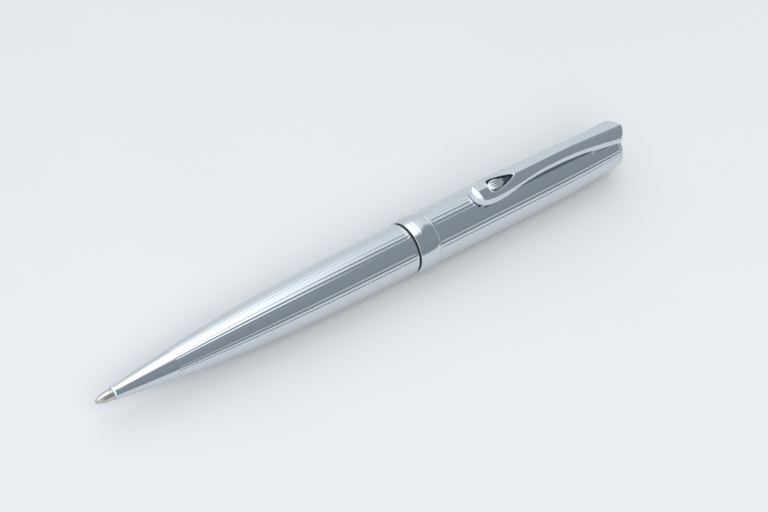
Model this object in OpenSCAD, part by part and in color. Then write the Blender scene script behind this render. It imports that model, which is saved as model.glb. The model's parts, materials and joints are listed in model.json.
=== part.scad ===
// Slim chrome twist-action ballpoint pen, point out at rest.
// Frame: the pen lies along X with its writing tip towards -X and its clip on top (+Z).
// The origin is below the middle of the pen, at the height of the surface it lies on.
// Most pieces are turned about the pen's axis. Their modules place them by the distance
// from the writing tip, and on_axis() lays them along X.

/* [Overall] */
// Length from the writing ball to the rear end of the cap
pen_len = 134; // [134:0.5:140]
// Distance from the tip to the joint between the two barrels
joint_at = 75.5; // [75:0.5:76]

/* [Front barrel] */
// Outer radius of the front barrel at the joint
front_r = 5.56; // [5.5:0.01:5.65]
// Length of writing point that stands out of the nose
point_out = 3.8; // [3.4:0.1:4.2]
// Outer radius of the nose at its mouth
mouth_r = 1.5; // [1.45:0.05:1.6]
// Distance from the tip to the seam between nose cone and barrel
nose_seam_at = 17.5; // [17.3:0.1:18.5]

/* [Rear barrel] */
// Outer radius of the rear barrel behind the centre ring
rear_r = 5.87; // [5.85:0.01:6]
// Outer radius of the rear barrel at its end
rear_end_r = 4.72; // [4.7:0.01:4.8]

/* [Centre ring] */
// Largest radius of the centre ring
ring_r = 6.1; // [6.05:0.05:6.3]
// Length of the centre ring
ring_len = 5.1; // [5:0.1:5.3]
// Length of the ring's cylindrical land
ring_land = 1.6; // [1.4:0.1:1.8]

/* [Refill] */
// Length of the refill, ball included
refill_len = 98.3; // [98:0.1:98.6]
// Outer radius of the refill tube
refill_r = 2.95; // [2.85:0.05:2.95]
// Radius of the writing point
point_r = 1.15; // [1.1:0.05:1.15]
// Radius of the writing ball
ball_r = 0.5; // [0.35:0.05:0.5]

/* [Twist mechanism] */
// Turn of the rear barrel that draws the point in, in degrees
twist_turn = 180; // [120:10:180]
// Travel of the refill over that turn
travel = 6; // [5:0.5:6]
// Radius of the two lugs on the carriage
lug_r = 0.7; // [0.6:0.05:0.7]
// Radial gap of the pieces that turn or slide on each other
run_gap = 0.07; // [0.05:0.01:0.1]

/* [Clip] */
// Half-width of the clip's roof at its rounded drop
drop_half_w = 2.72; // [2.5:0.02:2.8]
// Half-width of the clip's roof at its waist
waist_half_w = 1.67; // [1.5:0.01:1.8]
// Half-width of the clip's roof at its root
root_half_w = 2.8; // [2.6:0.01:2.9]
// Height of the clip's ridge above the pen's axis
ridge_h = 7.85; // [7.8:0.05:8.1]
// Gap between the clip's flat underside and the top of the barrel
arch_gap = 0.8; // [0.6:0.05:0.85]

/* [Hidden] */

$fn = 72;
fit = 0.02;                 // gap of pieces pressed or screwed together

overall_len = pen_len + 1.2;    // the clip's root stands past the cap
axis_h = ring_r;

// Front barrel and nose: one curve from mouth to joint
taper_power = 2.7;
taper_rise = 4.3;           // radius gained between the mouth and the joint
mouth_len = 1.4;            // straight lip at the mouth
barrel_bore_r = 5.0;

// Centre ring and gap
joint_gap = 0.4;
ring_at = joint_at + joint_gap;
ring_end = ring_at + ring_len;
ring_lip = 0.7;
ring_bore_r = 5.47;

// Rear barrel
rear_bore_r = 5.15;
rear_end_bore_r = 4.3;
rear_step_at = 118.5;
cap_rim = 0.75;
rear_barrel_end = pen_len - cap_rim;

// Screw joint between the front barrel and the mechanism
thread_pitch = 0.75;
insert_from = 60;
male_crest_r = 4.65;
thread_depth = 0.25;
thread_gap = 0.05;
neck_r = 4.35;
neck_end = 79;

// Guide tube and cam sleeve
guide_r = 3.93;
guide_bore_r = 3.38;
guide_from = 66;
guide_end = 116;
lug_at = refill_len + 2.7;
lug_reach = 4.9;
sleeve_from = 80.2;
sleeve_end = 112;
clip_ring_groove_r = 3.6;

// Clip
clip_from = 92.7;
drop_len = 5;               // front end to the widest place of the drop
waist_from = 20.5;          // all along the clip, from its front end
waist_to = 24;
front_dip = 1.5;            // length over which the ridge dips at the front
slope_from = 28;
rest_gap = 0.1;             // between the drop and the barrel at rest
root_gap = 0.33;
roof_slope = 0.2;
side_lean = 0.45;           // the sides stand out this much for each unit of height
front_inset = 0.5;          // the roof starts this far behind the underside
end_w = 0.4;                // half-width at the root's blunt point
corner_from_end = 2.6;
pivot_at = 128.9;
pivot_h = 3.4;
pin_r = 0.5;
tongue_r = 1.2;
tongue_w = 1.6;
slot_w = 1.9;
spring_at = 131.65;

// Window in the clip's drop
window_from = 4.4;          // along the clip
window_len = 7.2;
window_half_w = 1.75;
window_floor_h = 7.0;
inlay_h = 0.45;

// ---- outlines ----

function front_outer_r(u) =
    front_r - taper_rise * pow((joint_at - u) / (joint_at - point_out), taper_power);

function rear_outer_r(u) =
    rear_r - (rear_r - rear_end_r) * pow(max(0, u - ring_end) / (rear_barrel_end - ring_end), 5);

// Rows of grooves between two places, as [radius, place] points
function ridged(from, to, crest_r, depth, pitch) =
    [for (i = [0 : floor((to - from) / pitch) - 1], k = [0 : 3])
        [crest_r - (k > 1 ? depth : 0), from + (i + [0.05, 0.35, 0.55, 0.85][k]) * pitch]];

// Half-width of the clip's roof at a distance v from its front end
function clip_half_w(v) =
    v < drop_len ? drop_half_w * sqrt(1 - pow((drop_len - v) / drop_len, 2.2))
    : v < waist_from ? waist_half_w + (drop_half_w - waist_half_w)
        * (1 + cos(180 * (v - drop_len) / (waist_from - drop_len))) / 2
    : v < waist_to ? waist_half_w
    : v < corner_v ? waist_half_w + (root_half_w - waist_half_w)
        * pow((v - waist_to) / (corner_v - waist_to), 1.5)
    : end_w + (root_half_w - end_w) * (1 - pow((v - corner_v) / corner_from_end, 2.2));

clip_len = overall_len - clip_from;
corner_v = clip_len - corner_from_end;

function ridge_z(v) =
    v < front_dip ? ridge_h - 0.5 * pow((front_dip - v) / front_dip, 2)
    : v < slope_from ? ridge_h
    : ridge_h - 1.2 * (v - slope_from) / (clip_len - slope_from);

function smooth(t) = let (c = min(1, max(0, t))) c * c * (3 - 2 * c);

function under_gap(v) =
    v < slope_from ? rest_gap + (arch_gap - rest_gap) * smooth((v - 5) / 8.5)
    : arch_gap - (arch_gap - root_gap) * smooth((v - slope_from) / 9);

// One section across the clip: a roof on top, sides that lean outwards, and a flat underside
function clip_section(v) = let (
        w = clip_half_w(v),
        roof_v = v + front_inset * pow(max(0, 1 - v / drop_len), 2),
        eaves = ridge_z(v) - roof_slope * w,
        under = rear_outer_r(min(clip_from + v, rear_barrel_end)) + under_gap(v),
        foot = w + side_lean * (eaves - under)
    ) [[roof_v, w, eaves], [roof_v, 0, ridge_z(v)], [roof_v, -w, eaves], [v, -foot, under], [v, foot, under]];

section_points = 5;

// Stations along the clip, closer together at its round front
clip_stations = concat(
    [for (v = [0.02, 0.08, 0.2, 0.4, 0.7, 1.1, 1.6, 2.2, 3, 3.9]) v],
    [for (v = [drop_len : 1.2 : corner_v - 0.5]) v],
    [for (i = [0 : 5]) corner_v + corner_from_end * (1 - pow(1 - i / 5, 1.6))]);

// ---- shared shapes ----

module on_axis() {
    translate([-overall_len / 2, 0, axis_h]) rotate([0, 90, 0]) children();
}

module in_pen_frame() {
    translate([-overall_len / 2, 0, axis_h]) children();
}

module turned(points) {
    rotate_extrude() polygon(points);
}

module tube(from, to, outer_r, inner_r) {
    difference() {
        translate([0, 0, from]) cylinder(h = to - from, r = outer_r);
        translate([0, 0, from - 1]) cylinder(h = to - from + 2, r = inner_r);
    }
}

// Closed skin over sections of equal size, as faces for polyhedron()
function skin_faces(sections, size) = concat(
    [[for (k = [0 : size - 1]) k]],
    [for (i = [0 : sections - 2], k = [0 : size - 1]) let (
            a = i * size + k,
            b = i * size + (k + 1) % size
        ) each [[a, a + size, b], [b, a + size, b + size]]],
    [[for (k = [size - 1 : -1 : 0]) (sections - 1) * size + k]]);

// ---- front body ----

module nose_cone() {
    spigot_r = 2.7;
    spigot_len = 5;
    lip_end = point_out + mouth_len;
    outer = [for (i = [0 : 8]) let (u = lip_end + (nose_seam_at - lip_end) * i / 8)
        [max(mouth_r, front_outer_r(u)), u]];
    color("silver") on_axis() turned(concat(
        [[point_r + 0.05, point_out + 0.15], [point_r + 0.12, point_out], [mouth_r - 0.12, point_out],
         [mouth_r, point_out + 0.15]],
        outer,
        [[spigot_r, nose_seam_at], [spigot_r, nose_seam_at + spigot_len], [1.95, nose_seam_at + spigot_len],
         [1.95, 11.5], [1.4, 11.5], [1.4, 6.8], [point_r + 0.05, 6.8]]));
}

module front_barrel() {
    outer = [for (i = [0 : 20]) let (u = nose_seam_at + (joint_at - 0.12 - nose_seam_at) * i / 20)
        [front_outer_r(u), u]];
    color("silver") on_axis() turned(concat(
        outer,
        [[front_r - 0.12, joint_at], [barrel_bore_r, joint_at], [barrel_bore_r, 58], [4.75, 46],
         [3.2, 24], [3.2, nose_seam_at + 5 + fit], [2.7 + fit, nose_seam_at + 5 + fit],
         [2.7 + fit, nose_seam_at]]));
}

module thread_insert() {
    bore = ridged(insert_from + 0.4, joint_at - 1, male_crest_r + thread_gap, thread_depth, thread_pitch);
    color("goldenrod") on_axis() turned(concat(
        [[barrel_bore_r - fit, insert_from], [barrel_bore_r - fit, joint_at]],
        [[male_crest_r + thread_gap, joint_at]],
        [for (i = [len(bore) - 1 : -1 : 0]) bore[i]],
        [[male_crest_r + thread_gap, insert_from]]));
}

module slip_washer() {
    color("black") on_axis() tube(joint_at + fit, ring_at - 0.04, 5.2, neck_r + fit);
}

module threaded_nozzle() {
    thread = ridged(insert_from + 0.4, joint_at - 1, male_crest_r, thread_depth, thread_pitch);
    color("goldenrod") on_axis() turned(concat(
        [[guide_bore_r, insert_from], [male_crest_r - thread_depth, insert_from]],
        thread,
        [[neck_r, joint_at - 0.6], [neck_r, neck_end], [guide_r + fit, neck_end],
         [guide_r + fit, guide_from], [guide_bore_r, guide_from]]));
}

module guide_tube() {
    slot_clear = 0.05;
    color("gold") on_axis() difference() {
        tube(guide_from + fit, guide_end, guide_r, guide_bore_r);
        translate([-(lug_r + slot_clear), -5, lug_at - lug_r - slot_clear])
            cube([2 * (lug_r + slot_clear), 10, travel + 2 * (lug_r + slot_clear)]);
        tube(112.7, 113.42, guide_r + 1, clip_ring_groove_r);
    }
}

module friction_ring() {
    bead_r = 0.38;
    color("dimgray") on_axis() translate([0, 0, neck_end + 0.6])
        rotate_extrude() translate([guide_r + bead_r + fit, 0]) circle(r = bead_r, $fn = 24);
}

module thrust_washer() {
    color("goldenrod") on_axis() tube(sleeve_end + 0.08, 112.6, 4.9, guide_r + fit);
}

module retaining_ring() {
    gap_w = 3;
    color("gray") on_axis() difference() {
        tube(112.71, 113.41, 4.7, clip_ring_groove_r + fit);
        translate([0, -gap_w / 2, 112]) cube([8, gap_w, 3]);
    }
}

// Coil spring between the nose and the refill's shoulder, as a sleeve of its outer size
module refill_spring() {
    color("lightgray") on_axis() tube(11.52, 23.18, 1.87, 1.52);
}

// ---- refill ----

module refill_point() {
    front = [for (i = [0 : 6]) let (t = i / 6) [0.44 + (point_r - 0.44) * sin(90 * t), 0.42 + 2.4 * t]];
    color("darkkhaki") on_axis() difference() {
        turned(concat([[0, 0.42]], front, [[point_r, 12], [0.8, 12], [0.8, 15], [0, 15]]));
        translate([0, 0, ball_r]) sphere(r = ball_r + 0.03);
    }
}

module refill_neck() {
    shoulder_at = 23.2;
    color("goldenrod") on_axis() turned([
        [0.8 + fit, 12 + fit], [1.35, 12 + fit], [1.45, 12.3], [1.45, shoulder_at], [2, shoulder_at],
        [refill_r - 0.1, 27.6], [refill_r, 28], [refill_r - 0.37, 28], [refill_r - 0.37, 31],
        [0, 31], [0, 15 + fit], [0.8 + fit, 15 + fit]]);
}

module refill_tube() {
    color("lightsteelblue") on_axis() tube(28 + fit, 90, refill_r, refill_r - 0.35);
}

module ink_column() {
    color("midnightblue") on_axis() translate([0, 0, 31 + fit]) cylinder(h = 50, r = refill_r - 0.37);
}

module refill_plug() {
    notch_w = 1.0;
    stem_r = refill_r - 0.37;
    color("black") on_axis() difference() {
        turned([[0, 86], [stem_r, 86], [stem_r, 90 + fit], [refill_r, 90 + fit], [refill_r, refill_len],
                [1.6, refill_len], [1.6, 92], [0, 92]]);
        for (a = [0, 60, 120]) rotate([0, 0, a])
            translate([-notch_w / 2, -4, refill_len - 1.5]) cube([notch_w, 8, 3]);
    }
}

// Cup that holds the refill's end. Its lugs run in the straight and the helical slots.
module drive_carriage() {
    cup_from = 93;
    color("ivory") on_axis() difference() {
        union() {
            translate([0, 0, cup_from]) cylinder(h = lug_at + 2 - cup_from, r = guide_bore_r - run_gap);
            translate([0, -lug_reach, lug_at]) rotate([-90, 0, 0]) cylinder(h = 2 * lug_reach, r = lug_r);
        }
        translate([0, 0, cup_from - 1]) cylinder(h = refill_len + fit - cup_from + 1, r = refill_r + fit);
    }
}

module writing_ball() {
    color("slategray") on_axis() translate([0, 0, ball_r]) sphere(r = ball_r, $fn = 48);
}

// ---- rear body ----

module centre_ring() {
    crease_at = ring_at + 1.4;
    land_at = ring_at + 1.95;
    front_bulge = [for (i = [0 : 5]) let (t = i / 5)
        [5.66 + (ring_r - 0.08 - 5.66) * sin(90 * t), ring_at + 0.18 + (crease_at - ring_at - 0.18) * t]];
    rear_fall = [for (i = [1 : 5]) let (t = i / 5)
        [ring_r - (ring_r - rear_r - 0.02) * (1 - cos(90 * t)),
         land_at + ring_land + (ring_end - land_at - ring_land) * t]];
    color("silver") on_axis() turned(concat(
        [[neck_r + 0.1, ring_at], [5.5, ring_at]],
        front_bulge,
        [[ring_r - 0.06, crease_at + 0.05], [ring_r, land_at], [ring_r, land_at + ring_land]],
        rear_fall,
        [[ring_bore_r, ring_end], [ring_bore_r, ring_at + ring_lip], [neck_r + 0.1, ring_at + ring_lip]]));
}

module rear_barrel() {
    outer = [for (i = [0 : 24]) let (u = ring_end + fit + (rear_barrel_end - ring_end - fit) * i / 24)
        [rear_outer_r(u), u]];
    color("silver") difference() {
        on_axis() turned(concat(
            [[rear_bore_r, ring_at + ring_lip + fit], [ring_bore_r - fit, ring_at + ring_lip + fit],
             [ring_bore_r - fit, ring_end + fit]],
            outer,
            [[rear_end_bore_r, rear_barrel_end], [rear_end_bore_r, rear_step_at],
             [rear_bore_r, rear_step_at]]));
        clip_slot(2);
    }
}

// Opening under the clip's root for its tongue and spring, above a given height
module clip_slot(above) {
    in_pen_frame() translate([pivot_at - tongue_r - 0.3, -slot_w / 2, above])
        cube([spring_at + 0.85 - pivot_at + tongue_r + 0.3, slot_w, 8]);
}

module front_bush() {
    color("black") on_axis() tube(ring_at + ring_lip + fit, neck_end + 0.15, rear_bore_r - fit, neck_r + run_gap);
}

// Slot along a helix: its depth runs from inside the sleeve's bore to outside its wall
module helical_slot(start_angle) {
    rise = travel / twist_turn;
    over = 12;
    half_w = 0.88;
    steps = 34;
    inner = guide_r - 0.3;
    outer = rear_bore_r + 0.3;
    points = [for (i = [0 : steps]) let (
            turn = -over + (twist_turn + 2 * over) * i / steps,
            a = start_angle - turn,
            u = lug_at + rise * turn
        ) each [[inner * cos(a), inner * sin(a), u - half_w], [outer * cos(a), outer * sin(a), u - half_w],
                [outer * cos(a), outer * sin(a), u + half_w], [inner * cos(a), inner * sin(a), u + half_w]]];
    polyhedron(points, skin_faces(steps + 1, 4));
}

module cam_sleeve() {
    color("darkgoldenrod") on_axis() difference() {
        tube(sleeve_from, sleeve_end, rear_bore_r - fit, guide_r + run_gap);
        for (a = [90, 270]) helical_slot(a);
    }
}

module clip_block() {
    color("tan") difference() {
        on_axis() difference() {
            translate([0, 0, 121]) cylinder(h = 11.5, r = rear_end_bore_r - fit);
            translate([0, 0, 128.5]) cylinder(h = 6, r = 1.4 + fit);
        }
        in_pen_frame() {
            translate([pivot_at - tongue_r - 0.3, -slot_w / 2, pivot_h - tongue_r - 0.2])
                cube([2 * tongue_r + 0.6, slot_w, 4]);
            translate([pivot_at, -6, pivot_h]) rotate([-90, 0, 0]) cylinder(h = 12, r = pin_r + fit);
            translate([spring_at, 0, 2.6]) cylinder(h = 4, r = 0.72);
        }
    }
}

module clip_pin() {
    pin_len = 3.4;
    color("gray") in_pen_frame() translate([pivot_at, -pin_len / 2, pivot_h])
        rotate([-90, 0, 0]) cylinder(h = pin_len, r = pin_r);
}

// Coil spring that presses the clip's root up, as a sleeve of its outer size
module clip_spring() {
    color("lightgray") in_pen_frame() translate([spring_at, 0, 2.62]) difference() {
        cylinder(h = 2.53, r = 0.68);
        translate([0, 0, -1]) cylinder(h = 5, r = 0.4);
    }
}

module end_cap() {
    edge_r = 0.35;
    dome_h = 0.5;
    color("silver") on_axis() turned(concat(
        [[0, 129], [1.4, 129], [1.4, rear_barrel_end - 0.7], [rear_end_bore_r - fit, rear_barrel_end - 0.7],
         [rear_end_bore_r - fit, rear_barrel_end + fit], [rear_end_r - 0.04, rear_barrel_end + fit]],
        [for (a = [0 : 15 : 90]) [rear_end_r - 0.04 - edge_r + edge_r * cos(a), pen_len - edge_r + edge_r * sin(a)]],
        [for (t = [0.8, 0.6, 0.4, 0.2, 0]) [(rear_end_r - 0.4) * t, pen_len + dome_h * (1 - t * t)]]));
}

// ---- clip ----

module window_outline(inset) {
    half_w = window_half_w - inset;
    length = window_len - 2 * inset;
    side = [for (i = [0 : 12]) let (t = i / 12) [length * t, half_w * sqrt(sin(180 * sqrt(t))) * (1 - 0.25 * t)]];
    polygon(concat(side, [for (i = [11 : -1 : 1]) [side[i][0], -side[i][1]]]));
}

module clip() {
    points = [for (v = clip_stations) each clip_section(v)];
    color("silver") in_pen_frame() difference() {
        union() {
            translate([clip_from, 0, 0])
                polyhedron(points, skin_faces(len(clip_stations), section_points));
            translate([pivot_at, -tongue_w / 2, pivot_h]) rotate([-90, 0, 0])
                cylinder(h = tongue_w, r = tongue_r);
            translate([pivot_at - tongue_r, -tongue_w / 2, pivot_h])
                cube([2 * tongue_r, tongue_w, 2.8]);
        }
        translate([clip_from + window_from, 0, window_floor_h]) linear_extrude(3) window_outline(0);
        translate([pivot_at, -2, pivot_h]) rotate([-90, 0, 0]) cylinder(h = 4, r = pin_r + run_gap);
    }
}

module clip_inlay() {
    color("black") in_pen_frame() translate([clip_from + window_from + 0.05, 0, window_floor_h + 0.01])
        linear_extrude(inlay_h) window_outline(0.05);
}

nose_cone();
front_barrel();
thread_insert();
slip_washer();
threaded_nozzle();
guide_tube();
friction_ring();
thrust_washer();
retaining_ring();
refill_spring();
refill_point();
refill_neck();
refill_tube();
ink_column();
refill_plug();
drive_carriage();
writing_ball();
centre_ring();
rear_barrel();
front_bush();
cam_sleeve();
clip_block();
clip_pin();
clip_spring();
end_cap();
clip();
clip_inlay();
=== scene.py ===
import json
from math import acos, cos, degrees, pi, radians, sin, sqrt, tau

import bmesh
import bpy
from mathutils import Matrix, Vector


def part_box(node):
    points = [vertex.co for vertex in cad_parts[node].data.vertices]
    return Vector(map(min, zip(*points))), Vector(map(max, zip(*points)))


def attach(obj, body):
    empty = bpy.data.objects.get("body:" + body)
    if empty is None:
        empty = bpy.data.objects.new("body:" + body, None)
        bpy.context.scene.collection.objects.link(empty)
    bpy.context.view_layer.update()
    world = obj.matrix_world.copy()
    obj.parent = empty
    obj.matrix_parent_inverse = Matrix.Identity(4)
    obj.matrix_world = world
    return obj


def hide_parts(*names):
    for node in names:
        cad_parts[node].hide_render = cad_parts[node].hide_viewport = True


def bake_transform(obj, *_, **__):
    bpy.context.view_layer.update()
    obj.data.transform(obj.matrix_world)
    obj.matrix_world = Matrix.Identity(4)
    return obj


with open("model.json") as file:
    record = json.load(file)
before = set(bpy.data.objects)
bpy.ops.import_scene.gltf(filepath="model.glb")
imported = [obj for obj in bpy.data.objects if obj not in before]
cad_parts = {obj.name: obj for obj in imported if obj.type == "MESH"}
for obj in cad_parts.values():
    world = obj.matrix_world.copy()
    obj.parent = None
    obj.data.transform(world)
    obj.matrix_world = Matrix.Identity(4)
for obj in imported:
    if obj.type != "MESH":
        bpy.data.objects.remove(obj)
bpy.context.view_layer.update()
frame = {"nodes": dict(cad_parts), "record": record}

# A slim chrome twist pen that lies along X with its tip towards -X and its clip on top.
# Lengths below are millimetres. "u" is a distance along the pen from the writing tip and
# "v" one along the clip from its front end. pen_point() turns them into the frame's metres.


# ---- sizes read from the frame ----

def span(node, axis):
    low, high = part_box(node)
    return low[axis] * 1000, high[axis] * 1000


TIP_X = span("writing_ball", 0)[0]
AXIS_Z = sum(span("front_barrel", 2)) / 2


def along(node):
    """Where a CAD node starts and ends along the pen, measured from the tip."""
    low, high = span(node, 0)
    return low - TIP_X, high - TIP_X


def radius(node):
    low, high = span(node, 1)
    return (high - low) / 2


POINT_OUT = along("nose_cone")[0]
NOSE_SEAM, JOINT = along("front_barrel")
RING_AT, RING_END = along("centre_ring")
BARREL_END = along("rear_barrel")[1]
CAP_END = along("end_cap")[1]
CLIP_FROM, CLIP_END = along("clip")
FRONT_R = radius("front_barrel")
RING_R = radius("centre_ring")
REAR_R = radius("rear_barrel")
CAP_R = radius("end_cap")
BALL_R = radius("writing_ball")
POINT_R = radius("refill_point")
RIDGE_Z = span("clip", 2)[1] - AXIS_Z


def pen_point(u, y, z):
    """A point in the frame, in metres, from pen millimetres. z is the height above the pen's axis."""
    return ((TIP_X + u) / 1000, y / 1000, (AXIS_Z + z) / 1000)


# ---- mesh helpers ----

def mesh_object(name, points, faces, crease=30.0):
    mesh = bpy.data.meshes.new(name)
    mesh.from_pydata(points, [], faces)
    work = bmesh.new()
    work.from_mesh(mesh)
    bmesh.ops.recalc_face_normals(work, faces=work.faces)
    work.to_mesh(mesh)
    work.free()
    mesh.shade_smooth()
    mesh.set_sharp_from_angle(angle=radians(crease))
    obj = bpy.data.objects.new(name, mesh)
    bpy.context.scene.collection.objects.link(obj)
    return obj


def loft(name, rings, crease=30.0, joined=False):
    """Skin over rings of equal size. joined=True links the last ring to the first.
    Otherwise a face closes each end."""
    count, size = len(rings), len(rings[0])
    points = [p for ring in rings for p in ring]
    faces = []
    for i in range(count if joined else count - 1):
        a, b = i * size, (i + 1) % count * size
        for k in range(size):
            n = (k + 1) % size
            faces.append((a + k, a + n, b + n, b + k))
    if not joined:
        faces.append(tuple(range(size)))
        faces.append(tuple((count - 1) * size + k for k in range(size)))
    return mesh_object(name, points, faces, crease)


def softened(points, edge_r, steps=3, closed=True, sharpest=150.0):
    """The same outline with its corners rounded."""
    result = []
    count = len(points)
    for i, here in enumerate(points):
        if not closed and i in (0, count - 1):
            result.append(here)
            continue
        before, after = Vector(points[i - 1]), Vector(points[(i + 1) % count])
        corner = Vector(here)
        back, ahead = before - corner, after - corner
        turn = acos(max(-1.0, min(1.0, back.normalized().dot(ahead.normalized()))))
        if degrees(turn) > sharpest:
            result.append(here)
            continue
        cut = min(edge_r, 0.45 * back.length, 0.45 * ahead.length)
        start, end = corner + back.normalized() * cut, corner + ahead.normalized() * cut
        for k in range(steps + 1):
            t = k / steps
            p = start * (1 - t) ** 2 + corner * 2 * t * (1 - t) + end * t ** 2
            result.append((p.x, p.y))
    return result


def turned(name, profile, segments=128, groove=None, crease=22.0):
    """A piece turned about the pen's axis from (u, r) points. A profile that starts and ends on the
    axis is closed with a pole at each end, and any other is a closed loop. groove(u, r, angle) is
    taken off the radius."""
    poles = profile[0][1] == 0
    body = profile[1:-1] if poles else profile
    angles = [tau * k / segments for k in range(segments)]
    rings = []
    for u, r in body:
        rings.append([(u, r - (groove(u, r, a) if groove else 0), a) for a in angles])
    points = [pen_point(u, r * sin(a), r * cos(a)) for ring in rings for u, r, a in ring]
    faces = []
    count = len(rings)
    for i in range(count - 1 if poles else count):
        a, b = i * segments, (i + 1) % count * segments
        for k in range(segments):
            n = (k + 1) % segments
            faces.append((a + k, a + n, b + n, b + k))
    if poles:
        for end, ring in ((0, 0), (-1, count - 1)):
            points.append(pen_point(profile[end][0], 0, 0))
            pole = len(points) - 1
            for k in range(segments):
                faces.append((ring * segments + k, ring * segments + (k + 1) % segments, pole))
    return mesh_object(name, points, faces, crease)


def tube(name, path, tube_r, sides=12, joined=False):
    """A round bar along a path of points, all in metres."""
    count = len(path)
    rings = []
    normal = None
    for i in range(count):
        if joined:
            ahead = Vector(path[(i + 1) % count]) - Vector(path[i - 1])
        else:
            ahead = Vector(path[min(i + 1, count - 1)]) - Vector(path[max(i - 1, 0)])
        ahead.normalize()
        if normal is None:
            normal = ahead.orthogonal()
        normal = (normal - ahead * normal.dot(ahead)).normalized()
        side = ahead.cross(normal)
        ring = []
        for k in range(sides):
            angle = tau * k / sides
            ring.append(tuple(Vector(path[i]) + (normal * cos(angle) + side * sin(angle)) * tube_r))
        rings.append(ring)
    return loft(name, rings, 40.0, joined)


def smooth(t):
    t = min(1.0, max(0.0, t))
    return t * t * (3 - 2 * t)


def steps(start, end, count):
    return [start + (end - start) * i / (count - 1) for i in range(count)]


# ---- materials ----

class Nodes:
    """A material's node tree, with short calls for the nodes used here."""

    def __init__(self, name):
        self.material = bpy.data.materials.new(name)
        self.material.use_nodes = True
        self.tree = self.material.node_tree
        self.shader = self.tree.nodes["Principled BSDF"]
        self.place = self.add("ShaderNodeTexCoord").outputs["Object"]

    def add(self, kind, **inputs):
        node = self.tree.nodes.new(kind)
        for key, value in inputs.items():
            node.inputs[key.replace("_", " ")].default_value = value
        return node

    def link(self, a, b):
        self.tree.links.new(a, b)

    def noise(self, scale, detail=3.0, stretch=(1, 1, 1)):
        """Noise in the frame's millimetres, stretched along the axes."""
        mapping = self.add("ShaderNodeMapping")
        mapping.inputs["Scale"].default_value = [1000 * scale / s for s in stretch]
        self.link(self.place, mapping.inputs["Vector"])
        noise = self.add("ShaderNodeTexNoise", Scale=1.0, Detail=detail)
        self.link(mapping.outputs["Vector"], noise.inputs["Vector"])
        return noise.outputs["Fac"]

    def spread(self, source, low, high):
        """A value that runs from low to high as the source goes over the middle of its range."""
        span_node = self.add("ShaderNodeMapRange", From_Min=0.3, From_Max=0.7, To_Min=low, To_Max=high)
        self.link(source, span_node.inputs["Value"])
        return span_node.outputs["Result"]

    def tint(self, source, dark, light):
        ramp = self.add("ShaderNodeValToRGB")
        ramp.color_ramp.elements[0].position = 0.3
        ramp.color_ramp.elements[0].color = (*dark, 1)
        ramp.color_ramp.elements[1].position = 0.7
        ramp.color_ramp.elements[1].color = (*light, 1)
        self.link(source, ramp.inputs["Fac"])
        return ramp.outputs["Color"]

    def bump(self, source, height_mm, strength=1.0):
        bump = self.add("ShaderNodeBump", Strength=strength, Distance=height_mm / 1000)
        self.link(source, bump.inputs["Height"])
        self.link(bump.outputs["Normal"], self.shader.inputs["Normal"])


def shade(name, dark, light, metallic, rough, patch=0.5, grain=None, grain_mm=0.002,
          stretch=(1, 1, 1), **sockets):
    """A material with mottled colour and roughness, and a fine grain as bump."""
    nodes = Nodes(name)
    patches = nodes.noise(patch, 4.0)
    nodes.shader.inputs["Metallic"].default_value = metallic
    for key, value in sockets.items():
        nodes.shader.inputs[key.replace("_", " ")].default_value = value
    nodes.link(nodes.tint(patches, dark, light), nodes.shader.inputs["Base Color"])
    nodes.link(nodes.spread(nodes.noise(patch * 3, 5.0), *rough), nodes.shader.inputs["Roughness"])
    if grain:
        nodes.bump(nodes.noise(grain, 4.0, stretch), grain_mm)
    return nodes.material


def make_materials():
    return {
        # mirror plate: hardly any mottling, with faint wipe marks along the pen
        "chrome_plate": shade("chrome_plate", (0.655, 0.685, 0.725), (0.665, 0.695, 0.735), 1.0,
                              (0.035, 0.075), 0.12, 2.5, 0.0002, (6, 1, 1)),
        "brass": shade("brass", (0.66, 0.46, 0.20), (0.80, 0.60, 0.30), 1.0,
                       (0.22, 0.38), 0.3, 6, 0.004, (0.3, 3, 3)),
        "cam_metal": shade("cam_metal", (0.58, 0.41, 0.19), (0.72, 0.53, 0.27), 1.0,
                           (0.28, 0.45), 0.3, 5, 0.004, (2, 0.5, 0.5)),
        "black_plastic": shade("black_plastic", (0.012, 0.012, 0.014), (0.025, 0.025, 0.028), 0.0,
                               (0.35, 0.5), 0.8, 9, 0.004),
        "black_rubber": shade("black_rubber", (0.010, 0.010, 0.010), (0.022, 0.022, 0.022), 0.0,
                              (0.7, 0.9), 0.9, 12, 0.01),
        "spring_steel": shade("spring_steel", (0.42, 0.43, 0.46), (0.60, 0.61, 0.63), 1.0,
                              (0.2, 0.32), 1.2, 8, 0.002),
        "nickel_silver": shade("nickel_silver", (0.56, 0.54, 0.51), (0.66, 0.64, 0.61), 1.0,
                               (0.16, 0.26), 0.7, 10, 0.0012, (0.25, 3, 3)),
        "refill_steel": shade("refill_steel", (0.52, 0.53, 0.56), (0.64, 0.65, 0.68), 1.0,
                              (0.25, 0.36), 0.25, 5, 0.002, (8, 1, 1)),
        "ink": shade("ink", (0.004, 0.006, 0.04), (0.008, 0.012, 0.07), 0.0,
                     (0.05, 0.12), 0.4, 2, 0.003, Coat_Weight=0.6),
        "acetal": shade("acetal", (0.70, 0.68, 0.61), (0.82, 0.80, 0.73), 0.0,
                        (0.38, 0.52), 0.5, 8, 0.004, Subsurface_Weight=0.1),
        "ball_metal": shade("ball_metal", (0.36, 0.37, 0.40), (0.52, 0.53, 0.55), 1.0,
                            (0.12, 0.25), 3.0, 20, 0.001),
        # near-black with a clear coat: painted shade for the clip window's shadowed recess
        "dark_inlay": shade("dark_inlay", (0.006, 0.006, 0.008), (0.014, 0.014, 0.017), 0.0,
                            (0.06, 0.14), 1.5, 6, 0.002, Coat_Weight=0.5),
    }


MATERIALS = make_materials()


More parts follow.
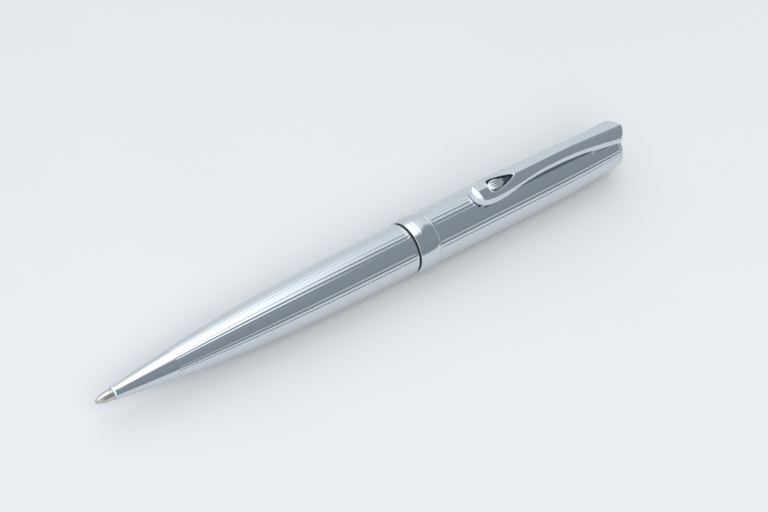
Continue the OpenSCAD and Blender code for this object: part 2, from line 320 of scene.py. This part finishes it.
def dress_cad_nodes():
    """Every carried-over CAD node gets the material of its slot in the record."""
    for part in frame["record"]["subparts"]:
        node = frame["nodes"][part["node"]]
        if not node.data.materials:
            node.data.materials.append(None)
        for k in range(len(node.data.materials)):
            node.data.materials[k] = MATERIALS[part["material_slot"]]


def fit_out(obj, slot, body, *nodes):
    """Gives a piece the material of its slot and its body, and hides the CAD nodes that it stands for."""
    obj.data.materials.clear()
    obj.data.materials.append(MATERIALS[slot])
    if body:
        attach(obj, body)
    if nodes:
        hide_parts(*nodes)
    return obj


# ---- outlines shared by several pieces ----

TAPER_POWER = 2.7
TAPER_RISE = 4.3
REAR_TAPER_POWER = 5
MOUTH_R = 1.5
MOUTH_LEN = 1.4
SPIGOT_LEN = 5.0            # the nose cone's spigot inside the front barrel
SPIGOT_R = 2.7
FIT = 0.02                  # clearance between pieces that go into one another
CAP_BORE = 4.3              # bore of the rear barrel that the end cap sits in


def front_r(u):
    return FRONT_R - TAPER_RISE * ((JOINT - u) / (JOINT - POINT_OUT)) ** TAPER_POWER


def rear_r(u):
    fall = REAR_R - CAP_R - 0.04
    return REAR_R - fall * (max(0.0, u - RING_END) / (BARREL_END - RING_END)) ** REAR_TAPER_POWER


# ---- fine flutes of both barrels ----

FLUTES = 50
FLUTE_SLOPE = 0.0067        # depth of a flute for each unit of barrel radius
FLUTE_SAMPLES = 8
RUN_OUT = 0.9               # length over which the flutes end near the joint or the ring


def flutes(end_at, ahead):
    """Concave scallops with sharp crests at the barrel's own radius. They run out before end_at."""
    def groove(u, r, angle):
        across = (angle * FLUTES / tau) % 1 - 0.5
        depth = FLUTE_SLOPE * r * (1 - (2 * across) ** 2)
        left = (end_at - u) * ahead
        lift = FLUTE_SLOPE * r * max(0.0, 1 - left / RUN_OUT) ** 2
        return max(0.0, depth - lift)
    return groove


def outer_only(groove, outline):
    """The groove, for points on the outside of a barrel alone."""
    return lambda u, r, a: groove(u, r, a) if abs(r - outline(u)) < 0.02 else 0.0


# ---- turned outer pieces ----

def make_nose_cone():
    lip_end = POINT_OUT + MOUTH_LEN
    outer = [(u, max(MOUTH_R, front_r(u))) for u in steps(lip_end, NOSE_SEAM - 0.05, 28)]
    # a bevelled mouth
    lip = [(POINT_OUT, POINT_R + 0.06), (POINT_OUT + 0.03, POINT_R + 0.11),
           (POINT_OUT + 0.24, MOUTH_R - 0.03), (POINT_OUT + 0.29, MOUTH_R)]
    spigot_end = NOSE_SEAM + SPIGOT_LEN
    spring_seat, spring_bore = 11.5, 1.95
    neck_from, neck_bore = 6.8, 1.4
    point_bore = POINT_R + 0.05
    inside = [(NOSE_SEAM, front_r(NOSE_SEAM) - 0.05), (NOSE_SEAM, SPIGOT_R),
              (spigot_end, SPIGOT_R), (spigot_end, spring_bore),
              (spring_seat, spring_bore), (spring_seat, neck_bore),
              (neck_from, neck_bore), (neck_from, point_bore), (POINT_OUT + 0.12, point_bore)]
    cone = turned("nose_cone_shell", lip + outer + inside, 128)
    return fit_out(cone, "chrome_plate", "front", "nose_cone")


def make_front_barrel():
    start = [(NOSE_SEAM, front_r(NOSE_SEAM) - 0.02)]
    outer = [(u, front_r(u)) for u in steps(NOSE_SEAM + 0.01, JOINT - 1.4, 40)]
    end = [(u, front_r(u)) for u in steps(JOINT - 1.3, JOINT - 0.2, 16)]
    edge = [(JOINT - 0.1, FRONT_R - 0.02), (JOINT - 0.03, FRONT_R - 0.08), (JOINT, FRONT_R - 0.16)]
    wide_bore, narrow_bore = 5.0, 3.2
    socket_r = SPIGOT_R + FIT
    socket_end = NOSE_SEAM + SPIGOT_LEN + FIT
    inside = [(JOINT, wide_bore), (58, wide_bore), (46, 4.75), (24, narrow_bore),
              (socket_end, narrow_bore), (socket_end, socket_r), (NOSE_SEAM, socket_r)]
    groove = outer_only(flutes(JOINT - 0.25, 1), front_r)
    profile = start + outer + end + edge + inside
    barrel = turned("front_barrel_fluted", profile, FLUTES * FLUTE_SAMPLES, groove, 14)
    return fit_out(barrel, "chrome_plate", "front", "front_barrel")


def make_centre_ring():
    crease = RING_AT + 1.4
    land = RING_AT + 1.95
    land_end = land + 1.6
    bulge_from, bulge_r = RING_AT + 0.15, 5.79
    crease_r = RING_R - 0.08
    bush_bore, barrel_seat_r = 4.45, 5.47
    barrel_seat = RING_AT + 0.7
    front_lip = [(RING_AT, bush_bore), (RING_AT, 5.68), (RING_AT + 0.02, 5.73), (RING_AT + 0.07, 5.76)]
    bulge = [(bulge_from + (crease - bulge_from) * t, bulge_r + (crease_r - bulge_r) * sin(pi / 2 * t))
             for t in steps(0, 1, 12)]
    rise = [(crease + 0.06, RING_R - 0.055), (crease + 0.3, RING_R - 0.02),
            (land, RING_R), (land_end, RING_R)]
    fall = [(land_end + (RING_END - 0.12 - land_end) * t,
             RING_R - (RING_R - REAR_R - 0.05) * (1 - cos(pi / 2 * t))) for t in steps(0.08, 1, 12)]
    back = [(RING_END - 0.04, REAR_R - 0.02), (RING_END, REAR_R - 0.1),
            (RING_END, barrel_seat_r), (barrel_seat, barrel_seat_r), (barrel_seat, bush_bore)]
    ring = turned("centre_ring_turned", front_lip + bulge + rise + fall + back, 192, None, 16)
    return fit_out(ring, "chrome_plate", "rear", "centre_ring")


def make_rear_barrel():
    start = RING_END + FIT
    front_edge = [(start, REAR_R - 0.1), (start + 0.04, REAR_R - 0.03)]
    outer = [(u, rear_r(u)) for u in steps(start + 0.1, start + 1.3, 16)]
    outer += [(u, rear_r(u)) for u in steps(start + 1.5, BARREL_END - 0.12, 56)]
    bore_end, bore_r = 118.5, 5.15
    spigot_from, spigot_r = RING_AT + 0.7 + FIT, 5.45
    inside = [(BARREL_END, rear_r(BARREL_END) - 0.12), (BARREL_END, CAP_BORE),
              (bore_end, CAP_BORE), (bore_end, bore_r),
              (spigot_from, bore_r), (spigot_from, spigot_r), (start, spigot_r)]
    groove = outer_only(flutes(start + 0.08, -1), rear_r)
    profile = front_edge + outer + inside
    barrel = turned("rear_barrel_fluted", profile, FLUTES * FLUTE_SAMPLES, groove, 14)
    cut_clip_slot(barrel)
    return fit_out(barrel, "chrome_plate", "rear", "rear_barrel")


def cut_away(obj, cutter, crease):
    """Takes the cutter out of the mesh for good."""
    modifier = obj.modifiers.new("cut", "BOOLEAN")
    modifier.operation = "DIFFERENCE"
    modifier.solver = "EXACT"
    modifier.object = cutter
    graph = bpy.context.evaluated_depsgraph_get()
    cut = bpy.data.meshes.new_from_object(obj.evaluated_get(graph))
    obj.modifiers.clear()
    old = obj.data
    obj.data = cut
    cut.name = old.name
    bpy.data.meshes.remove(old)
    bpy.data.objects.remove(cutter)
    cut.shade_smooth()
    cut.set_sharp_from_angle(angle=radians(crease))


def cut_clip_slot(barrel):
    """The opening under the clip's root that its tongue and its spring pass through."""
    half_w, low, high = 0.95, 2.0, 8.0
    rings = []
    for u in (127.4, 132.5):
        rings.append([pen_point(u, -half_w, low), pen_point(u, half_w, low),
                      pen_point(u, half_w, high), pen_point(u, -half_w, high)])
    cut_away(barrel, loft("slot_cutter", rings), 14)


def make_end_cap():
    rim, edge = CAP_R, 0.35
    rim_end = 134.0
    dome = CAP_END - rim_end
    stem_from, stem_r = 129, 1.4
    plug_from, plug_r = BARREL_END - 0.7, CAP_BORE - FIT
    seat = BARREL_END + FIT
    body = [(stem_from, 0), (stem_from, stem_r), (plug_from, stem_r), (plug_from, plug_r), (seat, plug_r),
            (seat, rim - 0.06), (BARREL_END + 0.08, rim)]
    corner = [(rim_end - edge + edge * sin(a), rim - edge + edge * cos(a)) for a in steps(0, pi / 2, 8)]
    face = [(rim_end + dome * (1 - t * t), (rim - edge) * t) for t in steps(0.92, 0.06, 12)]
    cap = turned("end_cap_turned", body + corner + face + [(CAP_END, 0)], 128)
    return fit_out(cap, "chrome_plate", "rear", "end_cap")


# ---- refill ----

def make_refill_point():
    nib_at, nib_r, nose_len = 0.42, 0.5, 2.4
    shoulder, shank_r, point_end = 7.5, POINT_R - 0.04, 15
    cavity_r, cavity_end = 0.8, 12
    seat_r = BALL_R + 0.03
    socket = [(BALL_R + seat_r * cos(a), seat_r * sin(a)) for a in steps(0, radians(99), 8)]
    crimp = [(nib_at - 0.02, nib_r - 0.02), (nib_at, nib_r)]
    front = [(nib_at + nose_len * t, nib_r + (POINT_R - nib_r) * sin(pi / 2 * t))
             for t in steps(0, 1, 14)]
    rest = [(shoulder, POINT_R), (shoulder + 0.05, shank_r), (cavity_end, shank_r),
            (cavity_end, cavity_r), (point_end, cavity_r), (point_end, 0)]
    profile = [(socket[0][0], 0)] + socket[1:] + crimp + front[1:] + rest
    point = turned("refill_point_turned", profile, 96)
    return fit_out(point, "nickel_silver", "refill", "refill_point")


def coil_path(turns, per_turn, place):
    return [place(k / per_turn, k / (turns * per_turn)) for k in range(turns * per_turn + 1)]


def make_refill_spring():
    low, high = along("refill_spring")
    wire_r = 0.17
    mean_r = radius("refill_spring") - wire_r
    turns = 12

    def place(turn, share):
        a = tau * turn
        # close-wound at both ends, open between them
        eased = share - 0.55 * sin(tau * share) / tau
        u = low + wire_r + (high - low - 2 * wire_r) * eased
        return pen_point(u, mean_r * sin(a), mean_r * cos(a))

    spring = tube("refill_spring_coil", coil_path(turns, 28, place), wire_r / 1000, 10)
    fit_out(spring, "spring_steel", None, "refill_spring")
    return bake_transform(spring, "front", "refill", start=pen_point(low, 0, 0), end=pen_point(high, 0, 0))


def make_clip_spring():
    low, high = (z - AXIS_Z for z in span("clip_spring", 2))
    middle = sum(along("clip_spring")) / 2
    wire_r = 0.12
    mean_r = radius("clip_spring") - wire_r

    def place(turn, share):
        a = tau * turn
        z = low + wire_r + (high - low - 2 * wire_r) * share
        return pen_point(middle + mean_r * cos(a), mean_r * sin(a), z)

    spring = tube("clip_spring_coil", coil_path(6, 24, place), wire_r / 1000, 10)
    fit_out(spring, "spring_steel", None, "clip_spring")
    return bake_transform(spring, "rear", "clip",
                    start=pen_point(middle, 0, low), end=pen_point(middle, 0, high))


# ---- clip ----

CLIP_LEN = CLIP_END - CLIP_FROM
DROP_W, WAIST_W, ROOT_W, END_W = 2.72, 1.67, 2.8, 0.4                  # half-widths
DROP_LEN, WAIST_FROM, WAIST_TO, SLOPE_FROM = 5.0, 20.5, 24.0, 28.0     # from the clip's front
CORNER_V = CLIP_LEN - 2.6   # where the root starts to round off
REST_GAP, ARCH_GAP, ROOT_GAP = 0.1, 0.8, 0.33
ARCH_LEN, ROOT_RUN = 8.5, 9
RIDGE_TOP = RIDGE_Z - 0.08  # leaves room for the window's rim
FRONT_DIP, FRONT_DIP_LEN = 0.55, 1.2
ROOT_DROP = 1.2             # how far the ridge falls towards the root
ROOF_SLOPE = 0.2
ROOF_CROWN = 0.28           # share of the roof's fall that comes from its curve
SIDE_LEAN = 0.45            # the sides stand out this much for each unit of height
FRONT_INSET = 0.15          # the roof starts this far behind the underside
WINDOW_FROM, WINDOW_LEN, WINDOW_W = 4.1, 6.9, 1.75
WINDOW_FLOOR = 6.9


def roof_half_w(v):
    """Half the roof's width: drop, waist, and a root that widens and then rounds off."""
    if v < DROP_LEN:
        return DROP_W * sqrt(1 - ((DROP_LEN - v) / DROP_LEN) ** 3.0)
    if v < WAIST_FROM:
        swing = (1 + cos(pi * (v - DROP_LEN) / (WAIST_FROM - DROP_LEN))) / 2
        return WAIST_W + (DROP_W - WAIST_W) * swing
    if v < WAIST_TO:
        return WAIST_W
    if v < CORNER_V:
        return WAIST_W + (ROOT_W - WAIST_W) * ((v - WAIST_TO) / (CORNER_V - WAIST_TO)) ** 1.5
    return END_W + (ROOT_W - END_W) * (1 - ((v - CORNER_V) / (CLIP_LEN - CORNER_V)) ** 2.2)


def ridge_z(v):
    if v < FRONT_DIP_LEN:
        return RIDGE_TOP - FRONT_DIP * ((FRONT_DIP_LEN - v) / FRONT_DIP_LEN) ** 2
    return RIDGE_TOP - ROOT_DROP * max(0.0, v - SLOPE_FROM) / (CLIP_LEN - SLOPE_FROM)


def under_z(v):
    """Height of the underside: close to the barrel at the drop, arched behind it, and close at the root."""
    if v < SLOPE_FROM:
        gap = REST_GAP + (ARCH_GAP - REST_GAP) * smooth((v - DROP_LEN) / ARCH_LEN)
    else:
        gap = ARCH_GAP - (ARCH_GAP - ROOT_GAP) * smooth((v - SLOPE_FROM) / ROOT_RUN)
    return rear_r(min(CLIP_FROM + v, BARREL_END)) + gap


def roof_fall(y, w):
    """How far the roof lies below its ridge: nearly flat facets that steepen towards the eaves."""
    share = abs(y) / w
    return ROOF_SLOPE * w * ((1 - ROOF_CROWN) * share + ROOF_CROWN * share * share)


def clip_section(v):
    w = roof_half_w(v)
    ridge, under = ridge_z(v), under_z(v)
    eaves = ridge - ROOF_SLOPE * w
    foot = w + SIDE_LEAN * (eaves - under)
    roof = [(w * t, ridge - roof_fall(w * t, w)) for t in steps(1, -1, 17)]
    outline = roof + [(-foot, under), (foot, under)]
    outline = softened(outline, min(0.16, 0.25 * w), 4, True, 155.0)
    roof_v = v + FRONT_INSET * max(0.0, 1 - v / DROP_LEN) ** 2
    points = []
    for y, z in outline:
        share = min(1.0, max(0.0, (z - under) / max(1e-6, eaves - under)))
        points.append(pen_point(CLIP_FROM + v + (roof_v - v) * share, y, z))
    return points


def window_outline(grow, count=48):
    """A teardrop, round towards the clip's front and pointed towards its root, as (v, y) points."""
    start, length, half_w = WINDOW_FROM - grow, WINDOW_LEN + 2 * grow, WINDOW_W + grow
    side = []
    for k in range(count):
        t = 0.5 - 0.5 * cos(pi * k / count)
        side.append((start + length * t, half_w * sqrt(sin(pi * sqrt(t))) * (1 - 0.25 * t)))
    side.append((start + length, 0.0))
    return side + [(v, -y) for v, y in side[-2:0:-1]]


def make_clip():
    crease = 9
    inset = 0.02
    last = CLIP_LEN - inset
    stations = [inset + DROP_LEN * (1 - cos(pi / 2 * t)) for t in steps(0, 1, 22)]
    stations += steps(DROP_LEN + 0.3, CORNER_V - 0.1, 90)
    stations += [last - (last - CORNER_V) * t ** 1.6 for t in steps(1, 0, 18)]
    body = loft("clip_body", [clip_section(v) for v in stations], crease)
    rings = [[pen_point(CLIP_FROM + v, y, z) for v, y in window_outline(grow)]
             for grow, z in ((-0.1, WINDOW_FLOOR), (0.0, 7.5), (0.25, 8.2))]
    cut_away(body, loft("window_cutter", rings), crease)
    body = joined_mesh(body, make_tongue())
    return fit_out(body, "chrome_plate", "clip", "clip")


def make_tongue():
    """The clip's tongue: a cheek with a round end that swings on the pin."""
    pivot, height, tongue_r, half_w = 128.9, 3.4, 1.2, 0.8
    top = height + 2.9
    outline = [(pivot + tongue_r * sin(a), height - tongue_r * cos(a))
               for a in steps(-pi / 2, pi / 2, 17)]
    outline += [(pivot + tongue_r, top), (pivot - tongue_r, top)]
    rings = [[pen_point(u, y, z) for u, z in outline] for y in (-half_w, half_w)]
    return loft("clip_tongue", rings)


def joined_mesh(first, second):
    """One mesh that holds both. Each stays a closed shell of its own."""
    work = bmesh.new()
    work.from_mesh(first.data)
    work.from_mesh(second.data)
    work.to_mesh(first.data)
    work.free()
    bpy.data.objects.remove(second)
    return first


def make_window_rim():
    """A bright bead round the clip's window, part sunk in the roof."""
    bead_r, sunk = 0.2, 0.06
    path = []
    for v, y in window_outline(0.12, 40):
        roof = ridge_z(v) - roof_fall(y, roof_half_w(v))
        path.append(pen_point(CLIP_FROM + v, y, roof - sunk))
    rim = tube("clip_window_rim", path, bead_r / 1000, 12, True)
    return fit_out(rim, "chrome_plate", "clip")


def make_shaded_inlay():
    """The inlay, a low plain dome that fills the window's floor. Its near-black colour is painted shade for
    the window's recess.
    """
    rings = []
    for grow, z in ((-0.12, WINDOW_FLOOR + 0.01), (-0.12, 7.2), (-0.3, 7.3), (-0.8, 7.36), (-1.3, 7.38)):
        rings.append([pen_point(CLIP_FROM + v, y, z) for v, y in window_outline(grow)])
    inlay = loft("clip_inlay_shade_dome", rings, 35)
    return fit_out(inlay, "dark_inlay", "clip", "clip_inlay")


def make_rib_bed():
    """The low oval pad under the ribs."""
    middle, half_len, half_w = CLIP_FROM + 6.1, 1.85, 1.32
    angles = [tau * k / 40 for k in range(40)]
    rings = []
    for shrink, z in ((0.0, 7.34), (0.0, 7.38), (0.12, 7.44), (0.4, 7.47)):
        rings.append([pen_point(middle + (half_len - shrink) * cos(a), (half_w - shrink) * sin(a), z)
                      for a in angles])
    return loft("rib_bed", rings, 35)


def make_inlay_ribs():
    """Four plain ribs that fan out over the front of the inlay, on a bed of their own."""
    rib_r = 0.18
    ribs = None
    for side in (-1.5, -0.5, 0.5, 1.5):
        path = []
        for t in steps(0, 1, 14):
            v = 4.9 + 3.1 * t + 0.1 * side
            height = 7.34 + 0.2 * sin(pi * t) ** 0.5
            path.append(pen_point(CLIP_FROM + v, side * (0.62 - 0.3 * t), height))
        rib = tube("clip_inlay_ribs", path, rib_r / 1000, 10)
        ribs = joined_mesh(ribs, rib) if ribs else rib
    return fit_out(joined_mesh(ribs, make_rib_bed()), "chrome_plate", "clip")


# ---- surroundings ----

def make_floor():
    half = 12.0
    corners = [(-half, -half, 0), (half, -half, 0), (half, half, 0), (-half, half, 0)]
    floor = mesh_object("floor", corners, [(0, 1, 2, 3)])
    floor.location.z = -0.00005
    nodes = Nodes("pale_floor")
    nodes.link(nodes.tint(nodes.noise(0.02, 2.0), (0.572, 0.59, 0.603), (0.58, 0.598, 0.611)),
               nodes.shader.inputs["Base Color"])
    nodes.shader.inputs["Roughness"].default_value = 0.9
    nodes.shader.inputs["Specular IOR Level"].default_value = 0.1
    floor.data.materials.append(nodes.material)


# Light that the studio sends from each direction round the pen's axis, as degrees from straight up
# (positive towards +Y) with a colour. LOW_SIDE lies on the camera's side of the softbox's edge. Beyond
# that edge it is TIP_SOFTBOX towards the tip's side and CAP_FILL towards the cap's side. TIP_CARD is a
# pale card beyond the tip.
LOW_SIDE = [
    (-180, (0.72, 0.76, 0.82)), (-92, (0.72, 0.76, 0.82)), (-82, (0.28, 0.32, 0.345)),
    (-50, (0.315, 0.355, 0.39)), (-10, (0.325, 0.365, 0.405)), (40, (0.34, 0.38, 0.42)),
]
TIP_SOFTBOX = [
    (-30, (1.7, 1.75, 1.8)), (46, (1.7, 1.75, 1.8)), (60, (0.95, 1.0, 1.03)),
    (72, (0.76, 0.80, 0.81)), (180, (0.78, 0.82, 0.83)),
]
CAP_FILL = [
    (-30, (0.80, 0.86, 0.88)), (27, (0.83, 0.885, 0.91)), (50, (0.82, 0.875, 0.90)),
    (65, (0.77, 0.83, 0.86)), (100, (0.77, 0.83, 0.86)), (180, (0.9, 0.94, 0.95)),
]
TIP_CARD = [(-180, (1.3, 1.34, 1.38)), (180, (1.3, 1.34, 1.38))]
WORLD_STRENGTH = 2.0        # the ramps hold colours up to 1


class Sky:
    """The world's node tree, with short calls for the nodes used here."""

    def __init__(self):
        world = bpy.data.worlds.new("studio")
        bpy.context.scene.world = world
        world.use_nodes = True
        self.tree = world.node_tree

    def add(self, kind, *sources):
        node = self.tree.nodes.new(kind)
        for socket, source in zip(node.inputs, sources):
            self.tree.links.new(source, socket)
        return node

    def mapped(self, source, low, high, to_low=0.0, to_high=1.0, ease=False):
        node = self.add("ShaderNodeMapRange", source)
        if ease:
            node.interpolation_type = "SMOOTHSTEP"
        limits = (("From Min", low), ("From Max", high), ("To Min", to_low), ("To Max", to_high))
        for name, value in limits:
            if isinstance(value, float):
                node.inputs[name].default_value = value
            else:
                self.tree.links.new(value, node.inputs[name])
        return node.outputs["Result"]

    def shifted(self, source, amount):
        node = self.add("ShaderNodeMath", source)
        node.inputs[1].default_value = amount
        return node.outputs[0]

    def ramp(self, share, stops):
        node = self.add("ShaderNodeValToRGB", share)
        elements = node.color_ramp.elements
        while len(elements) < len(stops):
            elements.new(0.5)
        for element, (angle, colour) in zip(elements, stops):
            element.position = (angle + 180) / 360
            element.color = (*[c / WORLD_STRENGTH for c in colour], 1)
        return node.outputs["Color"]

    def mix(self, factor, first, second):
        node = self.tree.nodes.new("ShaderNodeMix")
        node.data_type = "RGBA"
        for socket, source in ((0, factor), (6, first), (7, second)):
            self.tree.links.new(source, node.inputs[socket])
        return node.outputs[2]


def make_world():
    sky = Sky()
    place = sky.add("ShaderNodeTexCoord").outputs["Generated"]
    split = sky.add("ShaderNodeSeparateXYZ", place)
    turn = sky.add("ShaderNodeMath", split.outputs["Y"], split.outputs["Z"])
    turn.operation = "ARCTAN2"
    share = sky.mapped(turn.outputs[0], -pi, pi)
    # the softbox's lower edge climbs from -3 degrees at the tip's side to 20 at the cap's side
    edge = sky.mapped(split.outputs["X"], 0.38, 0.54, 0.5 - 3 / 360, 0.5 + 20 / 360, ease=True)
    half = 10 / 360         # half the edge's softness
    above = sky.mapped(share, sky.shifted(edge, -half), sky.shifted(edge, half), ease=True)
    fill = sky.mapped(split.outputs["X"], 0.22, 0.56, ease=True)
    bright = sky.mix(fill, sky.ramp(share, TIP_SOFTBOX), sky.ramp(share, CAP_FILL))
    round_colour = sky.mix(above, sky.ramp(share, LOW_SIDE), bright)
    card = sky.mapped(split.outputs["X"], -0.2, -0.5, ease=True)
    colour = sky.mix(card, round_colour, sky.ramp(share, TIP_CARD))
    background = sky.tree.nodes["Background"]
    sky.tree.links.new(colour, background.inputs["Color"])
    background.inputs["Strength"].default_value = WORLD_STRENGTH


def make_lamp():
    """A large soft lamp on the camera's side, which fills the pen's shadow. Chrome doesn't mirror it."""
    data = bpy.data.lights.new("fill_lamp", "AREA")
    data.shape = "DISK"
    data.size = 0.9
    data.energy = 6.0
    data.color = (1.0, 0.965, 0.915)
    lamp = bpy.data.objects.new("fill_lamp", data)
    bpy.context.scene.collection.objects.link(lamp)
    lamp.location = (-0.2, -0.5, 0.75)
    lamp.rotation_euler = Vector(lamp.location).to_track_quat("Z", "Y").to_euler()
    lamp.visible_glossy = False


def make_camera():
    """The camera looks down on the pen from beside its clip, with the tip at the lower left. The -16
    degrees turn it round the pen's axis, as the photo's pen lies rolled by that much."""
    turn = (Matrix.Rotation(radians(-16), 4, "X") @ Matrix.Rotation(radians(-38.7), 4, "Z")
            @ Matrix.Rotation(radians(90 - 38.4), 4, "X"))
    aim = Vector(pen_point(JOINT, 0, 0))
    data = bpy.data.cameras.new("camera")
    data.sensor_width = 36
    data.lens = 101.72
    data.clip_start = 0.01
    camera = bpy.data.objects.new("camera", data)
    bpy.context.scene.collection.objects.link(camera)
    back = turn.to_3x3() @ Vector((0.00395, 0.00147, -0.450))
    camera.matrix_world = Matrix.Translation(aim - back) @ turn
    bpy.context.scene.camera = camera


make_camera()
make_world()
make_lamp()
make_floor()
dress_cad_nodes()
make_nose_cone()
make_front_barrel()
make_centre_ring()
make_rear_barrel()
make_end_cap()
make_refill_point()
make_refill_spring()
make_clip_spring()
make_clip()
make_window_rim()
make_shaded_inlay()
make_inlay_ribs()

bpy.context.scene.view_settings.view_transform = "Standard"
